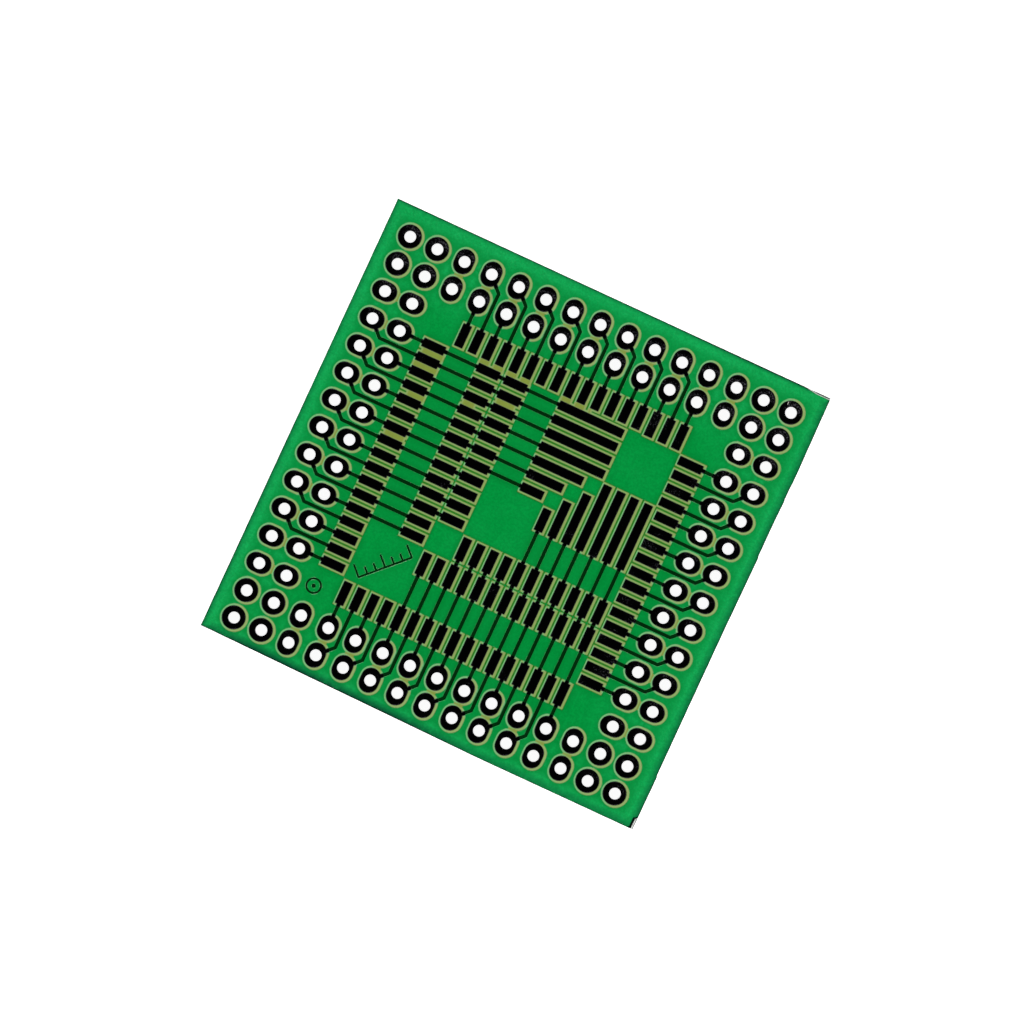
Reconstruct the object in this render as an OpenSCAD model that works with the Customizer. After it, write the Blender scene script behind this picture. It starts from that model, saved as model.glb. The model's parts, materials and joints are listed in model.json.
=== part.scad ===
// Bare adapter circuit board. A square laminate carries two rings of plated pin holes round
// nested land patterns for square leaded chip carriers, with one etched track for each contact.
// Sizes are in millimetres. The origin is the centre of the pin-hole grid on the underside,
// +Z points up to the side with the surface pads, and +X and +Y run along the hole rows.

/* [Board] */
// Finished thickness, over the solder mask on both sides
board_t = 1.6; // [1:0.05:2.4]
// Laminate left of the outer hole row's centres
edge_left = 2.32; // [1.8:0.01:4]
// Laminate right of the outer hole row's centres, along the straight part of the edge
edge_right = 2.67; // [1.8:0.01:4]
// Laminate above the outer hole row's centres
edge_top = 2.53; // [1.8:0.01:4]
// Laminate below the outer hole row's centres, along the straight part of the edge
edge_bottom = 2.16; // [2:0.01:4]
// How far the sheared lower edge climbs towards the left corner
bottom_rise = 0.37; // [0:0.01:0.5]
// Where along X the lower edge starts to climb
rise_start = 6; // [-10:0.5:15]
// How far the right edge leans in at the upper corner
right_lean = 0.1; // [0:0.01:0.5]
// Where along Y the right edge starts to lean
lean_start = 12; // [0:0.5:18]

/* [Pin holes] */
// Finished diameter of each plated pin hole
hole_d = 1.0; // [0.8:0.02:1.2]
// Diameter of the round pads on the corner holes
round_pad_d = 2.0; // [1.6:0.02:2.2]
// Length of the oblong pads on the other holes, square to the board's edge
oblong_pad_l = 2.14; // [1.8:0.02:2.3]
// Width of the oblong pads, along the board's edge
oblong_pad_w = 1.63; // [1.5:0.01:1.8]

/* [Surface pads] */
// Spacing of the surface pads, which is half the spacing of the pin holes
pitch = 1.27; // [1.25:0.01:1.8]
// Length of a surface pad, along its lead
pad_l = 2.0; // [1.6:0.02:2.3]
// Width of a surface pad
pad_w = 0.735; // [0.5:0.005:0.8]
// Distance from a land's last pad to the centre line of the row round the corner from it
lead_reach = 1.86; // [1.7:0.01:2.4]
// Extra length on the pads that also serve the smallest carrier
tip_extra = 0.15; // [0:0.01:0.3]

/* [Tracks] */
// Width of the etched tracks
track_w = 0.3; // [0.2:0.01:0.4]
// Stroke of the etched alignment marks
mark_w = 0.16; // [0.1:0.01:0.25]

/* [Layers] */
// Copper on each face, with its plating
copper_t = 0.05; // [0.03:0.005:0.06]
// Copper plated on the wall of each hole
plating_t = 0.05; // [0.02:0.005:0.08]
// Solder mask on each face
mask_t = 0.07; // [0.065:0.005:0.12]
// Bare laminate round each pad, inside the mask opening
mask_gap = 0.22; // [0.18:0.005:0.25]
// Narrowest web of mask that is kept between two openings
mask_web = 0.08; // [0.05:0.01:0.15]
// How far the copper image sits off the holes, along X
copper_shift = -0.04; // [-0.06:0.01:0.06]
// How far the mask image sits off the holes, along X
mask_shift = 0.02; // [-0.06:0.01:0.06]

/* [Hidden] */
// Contacts along one side, in the largest land pattern
PADS = 17;
// Pads a side in the two lands nested in it
MIDDLE_LANDS = [13, 11];
// Pads a side in the smallest lands, whose left and lower rows join up into long pads
LONG_FIRST = 7;
LONG_LAST = 4;
// Pads on the right column and the top row that carry the extra length
RIGHT_TIPS = 4;
TOP_TIPS = 3;
// Hole spacings from the centre to the outer ring
RING_STEPS = 7;
// Webs flaked away between two pads of one column: [pads a side of the land, number of the upper
// pad, where the bare stretch starts and ends as a share of the opening's length]
WEBS_LOST = [
    [17, 0, 0.1, 1], [17, 1, 0, 1], [17, 3, 0.25, 1], [17, 6, 0.1, 0.95],
    [13, 2, 0.05, 0.6], [11, 1, 0.05, 0.85]
];
// Webs flaked away below the pads of the top row: [number of the pad, start, end], as above
TOP_LOST = [
    [6, 0, 0.4], [7, 0, 1], [8, 0, 1],
    [11, 0, 1], [12, 0, 1], [13, 0, 1], [14, 0, 1]
];

hole_pitch = 2 * pitch;
ring_out = RING_STEPS * hole_pitch;
ring_in = ring_out - hole_pitch;
drill_d = hole_d + 2 * plating_t;
core_t = board_t - 2 * mask_t;
core_z = mask_t;
top_z = core_z + core_t;
// Web of mask left between the openings of an outer hole and its inner neighbour
pair_web = hole_pitch - oblong_pad_l - 2 * mask_gap;
// Width over which that web is left out when it is too thin
bridge_w = oblong_pad_w / 2;
round_fn = 64;
cut = 0.5;

// Place of contact k along its side, counted from the top or from the right
function at(k) = ((PADS - 1) / 2 - k) * pitch;
// Centre line of the left column, or the lower row, of the land with n pads a side
function row(n) = at(n - 1) - lead_reach;
// The land with n pads a side has its own column or row for contact k only below n
function is_odd(k) = k % 2 == 1;
// Place along the side of the hole that contact k runs to: odd contacts lean to the outer ring
function hole_at(k, lean) = at(k) + (is_odd(k) ? lean * pitch : 0);
function hole_ring(k) = is_odd(k) ? ring_out : ring_in;
// Right-hand end of long pad k
function long_end(k) =
    row(max(k + 1, LONG_LAST)) + pad_l / 2 + (k < LONG_LAST ? tip_extra : 0);
function two_digits(n) = str(n < 10 ? "0" : "", n);
function circuit_name(side, k) = str(side, "_circuit_", two_digits(k + 1));

// Every pin hole is [x, y, kind], where kind is the way that its pad runs: "round", "x" or "y"
hole_row = [for (i = [-RING_STEPS : RING_STEPS]) i * hole_pitch];
function pad_kind(x, y) =
    abs(x) >= ring_in - cut && abs(y) >= ring_in - cut ? "round"
    : abs(x) >= ring_in - cut ? "x" : "y";
holes = [
    for (x = hole_row)
        for (y = hole_row)
            if (max(abs(x), abs(y)) >= ring_in - cut) [x, y, pad_kind(x, y)]
];
SIDES = ["left", "bottom", "right", "top"];
// Holes on the left and right lean up from their contact, those at top and bottom lean left
function lean_of(side) = side == "left" || side == "right" ? 1 : -1;
// The pin hole of contact k
function hole_of(side, k) =
    side == "left" ? [-hole_ring(k), hole_at(k, 1)]
    : side == "right" ? [hole_ring(k), hole_at(k, 1)]
    : side == "top" ? [hole_at(k, -1), hole_ring(k)]
    : [hole_at(k, -1), -hole_ring(k)];
function side_of(h) =
    h[2] == "round" ? "corner"
    : h[2] == "x" ? (h[0] < 0 ? "left" : "right")
    : h[1] > 0 ? "top" : "bottom";
// The contacts that share hole h: one, or none where the hole is spare
function contacts_of(h) = [
    for (side = SIDES)
        for (k = [0 : PADS - 1])
            if (norm([h[0], h[1]] - hole_of(side, k)) < cut) k
];

LAYERS = ["laminate", "solder_mask_top", "solder_mask_bottom"];
SPARES = ["corner", "left", "right", "top", "bottom"];
function spare_name(side) = str(side, "_spare_holes");

// ---- Flat shapes ----

// A bar with round ends along X
module oblong(l, w) {
    square([l - w, w], center = true);
    for (s = [-1, 1])
        translate([s * (l - w) / 2, 0])
            circle(d = w, $fn = round_fn);
}

// The pad of one pin hole, grown on every side by grow
module hole_pad(kind, grow = 0) {
    if (kind == "round")
        circle(d = round_pad_d + 2 * grow, $fn = round_fn);
    else
        rotate(kind == "x" ? 0 : 90)
            oblong(oblong_pad_l + 2 * grow, oblong_pad_w + 2 * grow);
}

// A surface pad from x0 to x1 on the line y, grown on every side by grow
module bar_pad(x0, x1, y, grow = 0) {
    translate([x0 - grow, y - pad_w / 2 - grow])
        square([x1 - x0 + 2 * grow, pad_w + 2 * grow]);
}

// Copper between two points, with round ends
module stroke(a, b, w) {
    d = b - a;
    translate(a) {
        rotate(atan2(d[1], d[0]))
            translate([0, -w / 2])
                square([norm(d), w]);
        circle(d = w, $fn = 24);
    }
    translate(b)
        circle(d = w, $fn = 24);
}

// The side shapes are drawn for the left side. These put them on the others.
module on_side(side) {
    if (side == "left")
        children();
    else if (side == "right")
        mirror([1, 0, 0])
            children();
    else if (side == "bottom")
        mirror([1, -1, 0])
            children();
    else
        mirror([0, 1, 0])
            mirror([1, -1, 0])
                children();
}

function has_chain(side) = side == "left" || side == "bottom";
function tips_of(side) = side == "right" ? RIGHT_TIPS : side == "top" ? TOP_TIPS : 0;

// Every surface pad of contact k, seen from the left side
module contact_pads(k, side, grow = 0) {
    tip = k < tips_of(side) ? tip_extra : 0;
    bar_pad(row(PADS) - pad_l / 2, row(PADS) + pad_l / 2 + tip, at(k), grow);
    if (has_chain(side)) {
        for (n = MIDDLE_LANDS)
            if (k < n)
                bar_pad(row(n) - pad_l / 2, row(n) + pad_l / 2, at(k), grow);
        if (k < LONG_FIRST)
            bar_pad(row(LONG_FIRST) - pad_l / 2, long_end(k), at(k), grow);
    }
}

// Where the track of contact k ends, seen from the left side
function track_end(k, side) =
    !has_chain(side) ? row(PADS)
    : k < LONG_FIRST ? row(LONG_FIRST)
    : k < MIDDLE_LANDS[1] ? row(MIDDLE_LANDS[1])
    : k < MIDDLE_LANDS[0] ? row(MIDDLE_LANDS[0])
    : row(PADS);

// The track of contact k from its pin hole to its last pad, seen from the left side
module contact_track(k, side) {
    start = [-hole_ring(k), hole_at(k, lean_of(side))];
    bend = is_odd(k) ? [-ring_out + pitch, at(k)] : start;
    if (is_odd(k))
        stroke(start, bend, track_w);
    stroke(bend, [track_end(k, side), at(k)], track_w);
}

// A tick scale on the diagonal and a ring target in the corner, as etched alignment marks.
// Both are set out from the corner where the lines of the last two contacts cross.
last_line = at(PADS - 1);
scale_start = [last_line + 0.56, last_line - 0.09];
scale_step = 0.8;
scale_ticks = [1.1, 0.6, 0.6, 1.1, 0.6, 0.6, 1.1];
target_at = [last_line - 2.59, last_line - 2.34];
target_d = 1.4;
dot_d = 0.36;

module marks() {
    translate(scale_start)
        rotate(45) {
            stroke([0, 0], [(len(scale_ticks) - 1) * scale_step, 0], mark_w);
            for (i = [0 : len(scale_ticks) - 1])
                stroke([i * scale_step, 0], [i * scale_step, scale_ticks[i]], mark_w);
        }
    translate(target_at) {
        difference() {
            circle(d = target_d, $fn = round_fn);
            circle(d = target_d - 2 * mark_w, $fn = round_fn);
        }
        circle(d = dot_d, $fn = round_fn);
    }
}

// The board's outline, sheared a little off square
module outline() {
    left = -ring_out - edge_left;
    right = ring_out + edge_right;
    top = ring_out + edge_top;
    bottom = -ring_out - edge_bottom;
    polygon([
        [left, top],
        [right - right_lean, top],
        [right, lean_start],
        [right, bottom],
        [rise_start, bottom],
        [left, bottom + bottom_rise]
    ]);
}

// Openings in either mask for the pin holes' pads
module hole_openings() {
    for (h = holes)
        translate([h[0], h[1]])
            hole_pad(h[2], mask_gap);
    if (pair_web < mask_web)
        bridges();
}

// Openings that join the two holes of each pair, where the web between them would be too thin
module bridges() {
    pair = (ring_out + ring_in) / 2;
    for (i = [2 - RING_STEPS : RING_STEPS - 2])
        for (s = [-1, 1]) {
            translate([s * pair, i * hole_pitch])
                square([mask_gap, bridge_w], center = true);
            translate([i * hole_pitch, s * pair])
                square([bridge_w, mask_gap], center = true);
        }
}

// Openings in the top mask for the surface pads
module pad_openings() {
    for (side = SIDES)
        on_side(side)
            for (k = [0 : PADS - 1])
                contact_pads(k, side, mask_gap);
}

// Bare stretches where the narrow mask webs have flaked away
module lost_webs() {
    open_l = pad_l + 2 * mask_gap;
    open_w = pad_w + 2 * mask_gap;
    for (w = WEBS_LOST)
        translate([row(w[0]) - open_l / 2 + w[2] * open_l, at(w[1] + 1)])
            square([(w[3] - w[2]) * open_l, pitch]);
    for (w = TOP_LOST)
        translate([at(w[0]) - open_w / 2 + w[1] * open_w, at(0)])
            square([(w[2] - w[1]) * open_w, lead_reach]);
}

module tracks() {
    for (side = SIDES)
        on_side(side)
            for (k = [0 : PADS - 1])
                contact_track(k, side);
}

// ---- Pieces ----

module laminate() {
    color("darkkhaki")
        difference() {
            translate([0, 0, core_z])
                linear_extrude(core_t)
                    outline();
            for (h = holes)
                translate([h[0], h[1], core_z - cut])
                    cylinder(d = drill_d, h = core_t + 2 * cut, $fn = round_fn);
        }
}

module solder_mask_top() {
    color("green")
        difference() {
            translate([0, 0, top_z])
                linear_extrude(mask_t)
                    difference() {
                        outline();
                        translate([mask_shift, 0]) {
                            hole_openings();
                            pad_openings();
                            lost_webs();
                        }
                    }
            translate([copper_shift, 0, top_z - cut])
                linear_extrude(cut + copper_t) {
                    tracks();
                    marks();
                }
        }
}

module solder_mask_bottom() {
    color("green")
        linear_extrude(mask_t)
            difference() {
                outline();
                translate([mask_shift, 0])
                    hole_openings();
            }
}

// A plated hole: its two ring pads and the barrel between them. Its children are drawn in the
// copper of the top face.
module plated_hole(x, y, kind) {
    difference() {
        union() {
            for (z = [core_z - copper_t, top_z])
                translate([x + copper_shift, y, z])
                    linear_extrude(copper_t)
                        hole_pad(kind);
            translate([x, y, core_z - copper_t])
                cylinder(d = drill_d, h = core_t + 2 * copper_t, $fn = round_fn);
            translate([copper_shift, 0, top_z])
                linear_extrude(copper_t)
                    children();
        }
        translate([x, y, -cut])
            cylinder(d = hole_d, h = board_t + 2 * cut, $fn = round_fn);
    }
}

// One circuit: a plated hole, its track and its surface pads, all one piece of copper
module circuit(side, k) {
    hole = hole_of(side, k);
    color("black")
        plated_hole(hole[0], hole[1], pad_kind(hole[0], hole[1]))
            on_side(side) {
                contact_track(k, side);
                contact_pads(k, side);
            }
}

// The circuits of one side that run to the outer ring, or to the inner one
module circuits(side, outer) {
    for (k = [0 : PADS - 1])
        if (is_odd(k) == outer)
            circuit(side, k);
}

// The holes of one side that no track reaches
module spare_holes(side) {
    color("black")
        for (h = holes)
            if (side_of(h) == side && len(contacts_of(h)) == 0)
                plated_hole(h[0], h[1], h[2]);
}

module copper_marks() {
    color("darkgreen")
        translate([copper_shift, 0, top_z])
            linear_extrude(copper_t)
                marks();
}

laminate();
solder_mask_top();
solder_mask_bottom();
for (k = [0 : PADS - 1]) {
    circuit("left", k);
    circuit("bottom", k);
}
circuits("right", false);  // right_inner_circuits
circuits("right", true);  // right_outer_circuits
circuits("top", false);  // top_inner_circuits
circuits("top", true);  // top_outer_circuits
for (side = SPARES)
    spare_holes(side);
copper_marks();
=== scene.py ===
import json
import math

import bpy
import numpy as np
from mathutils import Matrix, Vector
from mathutils.geometry import delaunay_2d_cdt


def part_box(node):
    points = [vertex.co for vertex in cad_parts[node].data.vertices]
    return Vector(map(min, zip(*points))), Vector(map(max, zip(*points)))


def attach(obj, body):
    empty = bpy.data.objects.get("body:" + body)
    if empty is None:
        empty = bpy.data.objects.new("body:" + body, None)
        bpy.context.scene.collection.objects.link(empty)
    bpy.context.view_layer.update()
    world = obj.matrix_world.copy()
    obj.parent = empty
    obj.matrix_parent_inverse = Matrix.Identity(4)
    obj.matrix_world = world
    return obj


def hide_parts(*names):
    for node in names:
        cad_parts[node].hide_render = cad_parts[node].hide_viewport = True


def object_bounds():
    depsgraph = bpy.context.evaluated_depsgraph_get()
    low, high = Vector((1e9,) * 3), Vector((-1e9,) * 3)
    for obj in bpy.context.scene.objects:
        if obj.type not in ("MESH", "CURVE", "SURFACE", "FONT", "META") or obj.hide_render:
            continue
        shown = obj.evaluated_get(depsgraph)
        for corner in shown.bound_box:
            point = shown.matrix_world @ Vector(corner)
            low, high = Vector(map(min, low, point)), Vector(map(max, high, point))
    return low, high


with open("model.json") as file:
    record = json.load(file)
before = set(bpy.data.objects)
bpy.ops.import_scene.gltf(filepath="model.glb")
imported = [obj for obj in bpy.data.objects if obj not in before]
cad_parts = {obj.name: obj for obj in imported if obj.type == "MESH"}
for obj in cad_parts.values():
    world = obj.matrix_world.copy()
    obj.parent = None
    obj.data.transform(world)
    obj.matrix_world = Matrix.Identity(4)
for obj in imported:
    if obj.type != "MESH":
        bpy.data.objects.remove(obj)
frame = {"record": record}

bl_info = {
    "name": "Adapter circuit board",
    "version": (1, 0, 0),
    "blender": (4, 5, 0),
    "location": "3D View > Sidebar > Board",
    "description": "Builds the laminate, solder mask and plated copper of a bare adapter board",
    "category": "Mesh",
}

# Everything is drawn in millimetres and scaled to metres when a mesh is made
MM = 1000.0
CAD_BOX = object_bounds()
MOUNTS = {mount["name"]: mount for mount in frame["record"]["mounts"]}
CORNER_HOLE = MOUNTS["pin_hole_top_right"]
LAMINATE_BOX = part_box("laminate")
CIRCUIT_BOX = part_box("left_circuit_01")


# ---- sizes and colours


def length(name, description, default):
    """One length in the sidebar, in metres."""
    return bpy.props.FloatProperty(
        name=name, description=description, default=default, unit="LENGTH", precision=5
    )


def colour(name, description, default):
    """One colour in the sidebar, in linear red, green and blue."""
    return bpy.props.FloatVectorProperty(
        name=name, description=description, default=default, subtype="COLOR", size=3, min=0, max=1
    )


class BoardSizes(bpy.types.PropertyGroup):
    """The board's sizes"""

    ring: length("Ring", "Centre to the outer row of pin holes", CORNER_HOLE["pos_m"][0])
    hole_r: length("Hole", "Radius of a pin hole", CORNER_HOLE["dims"]["r_mm"] / MM)
    plating: length("Plating", "Thickness of the copper in a hole", 0.00005)
    round_pad: length("Round pad", "Diameter of a corner hole's pad", 0.002)
    oblong_l: length("Oblong pad length", "Length of the other holes' pads", 0.00214)
    oblong_w: length("Oblong pad width", "Width of the other holes' pads", 0.00163)
    pitch: length("Pitch", "Spacing of the surface pads", 0.00127)
    pad_l: length("Pad length", "Length of a surface pad", 0.002)
    pad_w: length("Pad width", "Width of a surface pad", 0.000735)
    reach: length("Reach", "Last pad of a land to the row round the corner", 0.00186)
    tip: length("Tip", "Extra length where a pad also serves the smallest carrier", 0.00015)
    track_w: length("Track", "Width of a track", 0.0003)
    mark_w: length("Mark", "Stroke of the alignment marks", 0.00016)
    gap: length("Mask gap", "Bare laminate round a pad", 0.00022)
    copper_shift: length("Copper shift", "Copper image off the holes, along X", -0.00004)
    mask_shift: length("Mask shift", "Mask image off the holes, along X", 0.00002)
    rise: length("Rise", "Climb of the sheared lower edge", 0.00037)
    rise_start: length("Rise start", "Where the lower edge starts to climb", 0.006)
    lean: length("Lean", "Lean of the right edge at the upper corner", 0.0001)
    lean_start: length("Lean start", "Where the right edge starts to lean", 0.012)
    rib: length("Rib", "How far the mask rises over a track", 0.000022)
    lip: length("Lip", "Width of the mask's thin lip round an opening", 0.00003)
    swell: length("Swell", "Swell of the tinned pads", 0.000012)


class BoardColours(bpy.types.PropertyGroup):
    """The board's colours"""

    mask: colour("Mask", "Solder mask on the laminate", (0.0002, 0.341, 0.053))
    mask_pale: colour("Mask at the border", "Solder mask near the board's edge", (0.0085, 0.484, 0.112))
    # Mask over copper: darkened by the copper's painted reflection of the dark room showing through the mask
    mask_dark: colour("Mask over copper", "Solder mask where a track lies under it", (0.0002, 0.0185, 0.002))
    mask_lip: colour("Mask lip", "Thin mask round a pin hole's pad", (0.04, 0.42, 0.1))
    mask_web: colour("Mask web", "Narrow mask between two surface pads", (0.024, 0.255, 0.014))
    mask_shade: colour("Mask shade", "Thicker mask beside an opening or a track", (0.0003, 0.265, 0.04))
    # Dark band along the sheared edge: mostly painted shade of the edge's roll-off, partly crushed mask
    bruise: colour("Sheared mask", "Mask crushed by the shear at the board's edge", (0.002, 0.06, 0.03))
    bare: colour("Laminate", "Bare laminate", (0.26, 0.345, 0.048))
    # Laminate rim: pale laminate beside a pad, partly a painted highlight off the mask's edge
    bare_pale: colour("Laminate rim", "Bare laminate beside a pad", (0.345, 0.5, 0.175))
    bare_thin: colour("Narrow rim", "Strip between a pad and the mask, filmed with mask", (0.22, 0.61, 0.25))
    frayed: colour("Frayed laminate", "Glass strands laid bare at a chipped corner", (0.93, 0.95, 0.92))
    cut: colour("Cut laminate", "Laminate on the sheared sides", (0.37, 0.4, 0.2))
    # Plating: the tin's dark base colour is a painted reflection of the dark room overhead, not the tin's own
    # colour
    metal: colour("Plating", "Tinned copper", (0.03, 0.03, 0.036))
    # Plating haze: pale specks on the tin, partly a real hazy finish and partly painted highlight
    metal_pale: colour("Plating haze", "Hazy patches on the tinned copper", (0.16, 0.15, 0.18))
    metal_raw: colour("Scratched plating", "Bright metal in a scratch", (0.9, 0.87, 0.78))
    floor: colour("Floor", "Pale floor that the board lies on", (0.8, 0.8, 0.8))


# ---- flat shapes
# A shape is a bar, (x0, y0, x1, y1, corner radius), or a stroke, (ax, ay, bx, by, half width)

# How a place drawn for the left side turns to each side
TURNS = {
    "left": lambda x, y: (x, y),
    "right": lambda x, y: (-x, y),
    "bottom": lambda x, y: (y, x),
    "top": lambda x, y: (y, -x),
}
# Further than anything on the board, and the smallest corner radius
FAR, SHARPEST = 99.0, 0.004
# Steps to the millimetre in the fine grid that outlines keep to
GRID_STEPS = 4096


def bar(x0, y0, x1, y1, corner=0.03):
    return ("bar", min(x0, x1), min(y0, y1), max(x0, x1), max(y0, y1), corner)


def stroke(ax, ay, bx, by, half):
    return ("stroke", ax, ay, bx, by, half)


def turned(shape, side):
    """A shape drawn for the left side, put on another side."""
    kind, ax, ay, bx, by, size = shape
    a, b = TURNS[side](ax, ay), TURNS[side](bx, by)
    return bar(*a, *b, size) if kind == "bar" else stroke(*a, *b, size)


def moved(shapes, dx):
    return [(kind, ax + dx, ay, bx + dx, by, size) for kind, ax, ay, bx, by, size in shapes]


def shortened(shape):
    """A track's stroke, started a little later so that its outline stays clear of the drilled hole."""
    later, shortest, widest = 0.15, 0.5, 0.2
    kind, ax, ay, bx, by, size = shape
    long = math.hypot(bx - ax, by - ay)
    if kind == "bar" or long < shortest or size > widest:
        return shape
    return (kind, ax + later * (bx - ax) / long, ay + later * (by - ay) / long, bx, by, size)


def snapped(points):
    """The points moved onto a fine grid, so that two loops through one point hold the same numbers."""
    return np.round(np.asarray(points) * GRID_STEPS) / GRID_STEPS


def arc(x, y, r, angles):
    return np.stack([x + r * np.cos(angles), y + r * np.sin(angles)], 1)


def outline(shape, grow=0.0, fine=8):
    """The shape's edge, counter-clockwise, grown by grow. fine is the number of steps in a quarter turn."""
    kind, ax, ay, bx, by, size = shape
    if kind == "bar":
        x0, y0, x1, y1 = ax - grow, ay - grow, bx + grow, by + grow
        r = min(max(size + grow, SHARPEST), (x1 - x0) / 2.01, (y1 - y0) / 2.01)
        turn = np.radians(np.linspace(0, 90, max(2, fine // 2) + 1))
        corners = ((x1 - r, y1 - r), (x0 + r, y1 - r), (x0 + r, y0 + r), (x1 - r, y0 + r))
        parts = [arc(x, y, r, turn + math.radians(90 * i)) for i, (x, y) in enumerate(corners)]
        return snapped(np.concatenate(parts))
    half = size + grow
    if math.hypot(bx - ax, by - ay) < 1e-9:
        return snapped(arc(ax, ay, half, np.linspace(0, 2 * math.pi, 4 * fine, endpoint=False)))
    turn = np.linspace(-math.pi / 2, math.pi / 2, 2 * fine + 1) + math.atan2(by - ay, bx - ax)
    return snapped(np.concatenate([arc(bx, by, half, turn), arc(ax, ay, -half, turn)]))


def outlines(shapes, grows, fine):
    """Every shape's edge, grown by each of the amounts."""
    return [outline(shape, grow, fine) for shape in shapes for grow in grows]


def away(shape, points):
    """Distance of each point from the shape's edge, negative inside it."""
    kind, ax, ay, bx, by, size = shape
    x, y = points[:, 0], points[:, 1]
    if kind == "bar":
        qx = np.abs(x - (ax + bx) / 2) - ((bx - ax) / 2 - size)
        qy = np.abs(y - (ay + by) / 2) - ((by - ay) / 2 - size)
        out = np.hypot(np.maximum(qx, 0), np.maximum(qy, 0))
        return out + np.minimum(np.maximum(qx, qy), 0) - size
    dx, dy = bx - ax, by - ay
    t = np.clip(((x - ax) * dx + (y - ay) * dy) / max(dx * dx + dy * dy, 1e-12), 0, 1)
    return np.hypot(x - ax - t * dx, y - ay - t * dy) - size


def nearest(shapes, points):
    """Distance of each point from the nearest of the shapes' edges, negative inside one."""
    found = np.full(len(points), FAR)
    for shape in shapes:
        found = np.minimum(found, away(shape, points))
    return found


def width_between(shapes, points):
    """Width of the gap that each point lies in: its distances from the two nearest shapes together."""
    first, second = np.full((2, len(points)), FAR)
    for shape in shapes:
        d = away(shape, points)
        second = np.minimum(second, np.maximum(first, d))
        first = np.minimum(first, d)
    return first + second


def ease(t):
    """0 below 0, 1 above 1, and smooth between."""
    t = np.clip(t, 0, 1)
    return t * t * (3 - 2 * t)


def fade(distance, start, width):
    """1 up to the start, falling smoothly to 0 over the width."""
    return 1 - ease((distance - start) / width)


def slope(distance, start, width):
    """1 up to the start, falling straight to 0 over the width."""
    return 1 - np.clip((distance - start) / width, 0, 1)


def quarter(t):
    """A quarter-round edge: 0 at its foot and 1 from t = 1 on."""
    return np.sqrt(np.maximum(0, 1 - (1 - np.clip(t, 0, 1)) ** 2))


def ripple(points, wave, seed=0.0):
    """A smooth uneven value from -1 to 1 at each point, with bumps about one wave apart."""
    x, y = points[:, 0] / wave, points[:, 1] / wave
    a = np.sin(5.1 * x + 2.3 * np.sin(3.7 * y + seed) + seed)
    b = np.sin(4.3 * y + 1.9 * np.sin(4.9 * x - 2 * seed) + 1.7 * seed)
    c = np.sin(8.9 * (x + y) + 1.3 * seed + 1.1 * np.sin(7.3 * (x - y)))
    return (a + b + 0.6 * c) / 2.6


# ---- the board's drawing


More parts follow.
